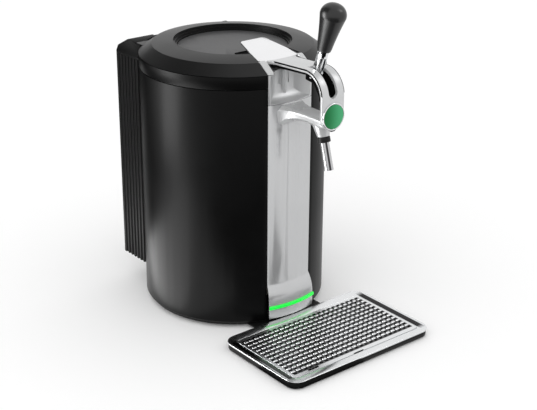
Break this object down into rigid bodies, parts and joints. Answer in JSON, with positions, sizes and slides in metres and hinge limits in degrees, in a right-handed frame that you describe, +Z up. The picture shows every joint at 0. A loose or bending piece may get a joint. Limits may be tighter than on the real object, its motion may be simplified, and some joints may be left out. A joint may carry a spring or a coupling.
{
  "type": "mini keg beer dispenser",
  "caption": "Countertop cooler for a mini keg: round barrel with hinged lid, ribbed rear housing, hooked tap arm with pull handle, and a slide-out drip tray with slotted grille.",
  "frame": {"origin": "centre of the footprint on the floor, under the middle of the whole bounding box", "axes": "+Z up, -Y towards the tap and the drip tray, +X to the right seen from the tap's side facing the barrel's front from inside, that is the right-hand side of a viewer who faces the tap"},
  "size_m": [0.266, 0.4402, 0.4803],
  "materials": {
    "barrel_black": "satin",
    "panel_silver": "satin silver",
    "niche_silver": "satin silver",
    "light_green": "lit, translucent",
    "base_black": "fine texture",
    "foot_rubber": "matt",
    "collar_black": "satin",
    "well_liner": "brushed",
    "foam": "foamed",
    "cooler_metal": "milled",
    "ceramic": "ceramic",
    "fan_black": "moulded",
    "housing_black": "moulded",
    "screw_steel": "plated",
    "board_green": "lacquered",
    "inlet_black": "moulded",
    "contact_metal": "plated",
    "switch_black": "gloss",
    "tap_silver": "satin silver",
    "medallion_rim": "polished",
    "medallion_green": "gloss",
    "spout_steel": "brushed",
    "spout_black": "moulded",
    "lever_chrome": "polished",
    "grip_black": "high gloss",
    "pin_steel": "ground",
    "liner_black": "moulded",
    "lid_black": "satin",
    "disc_grey": "satin",
    "plate_chrome": "polished",
    "liner_white": "moulded",
    "gasket_rubber": "matt",
    "tray_black": "moulded",
    "rim_chrome": "polished",
    "grille_chrome": "polished"
  },
  "bodies": {
    "housing": {"base_plate": "base_black", "base_feet": "foot_rubber", "barrel_shell": "barrel_black", "front_panel": "panel_silver", "light_strip": "light_green", "tap_column": "niche_silver", "collar_ring": "collar_black", "keg_well": "well_liner", "insulation_jacket": "foam", "cold_block": "cooler_metal", "peltier_module": "ceramic", "heat_sink": "cooler_metal", "fan_frame": "fan_black", "rear_housing": "housing_black", "hinge_pin": "pin_steel", "vent_cover": "housing_black", "cover_screws": "screw_steel", "control_board": "board_green", "power_inlet": "inlet_black", "inlet_pins": "contact_metal", "switch_frame": "switch_black", "tap_frame": "tap_silver", "tap_bracket": "screw_steel", "tap_bolts": "screw_steel", "medallion_bezel": "medallion_rim", "medallion_lens": "medallion_green", "spout_tube": "spout_steel", "spout_collar": "spout_black", "handle_pin": "pin_steel", "tap_arm": "tap_silver", "tap_liner": "liner_black"},
    "lid": {"lid_shell": "lid_black", "lid_plate": "plate_chrome", "channel_trims": "panel_silver", "lid_disc": "disc_grey", "lid_liner": "liner_white", "lid_gasket": "gasket_rubber"},
    "handle": {"handle_lever": "lever_chrome", "handle_grip": "grip_black"},
    "tray": {"tray_body": "tray_black", "tray_feet": "foot_rubber", "tray_rim": "rim_chrome"},
    "grille": {"drip_grille": "grille_chrome"},
    "fan_rotor": {"fan_rotor": "fan_black"},
    "rocker": {"switch_rocker": "switch_black"}
  },
  "joints": [
    {"name": "lid_hinge", "type": "hinge", "parent": "housing", "child": "lid", "pos_m": [0, 0.20255, 0.371], "axis": [-1, 0, 0], "range_deg": [0, 80]},
    {"name": "handle_pull", "type": "hinge", "parent": "housing", "child": "handle", "pos_m": [0, -0.10645, 0.379], "axis": [1, 0, 0], "range_deg": [0, 50]},
    {"name": "tray_slide", "type": "slide", "parent": "housing", "child": "tray", "axis": [0, -1, 0], "range_m": [0, 0.08]},
    {"name": "grille_lift", "type": "slide", "parent": "tray", "child": "grille", "axis": [0, 0, 1], "range_m": [0, 0.04]},
    {"name": "fan_spin", "type": "hinge", "parent": "housing", "child": "fan_rotor", "pos_m": [0, 0.20995, 0.18], "axis": [0, 1, 0], "continuous": true},
    {"name": "switch_rock", "type": "hinge", "parent": "housing", "child": "rocker", "pos_m": [0.07, 0.21505, 0.066], "axis": [1, 0, 0], "range_deg": [0, 10]}
  ]
}
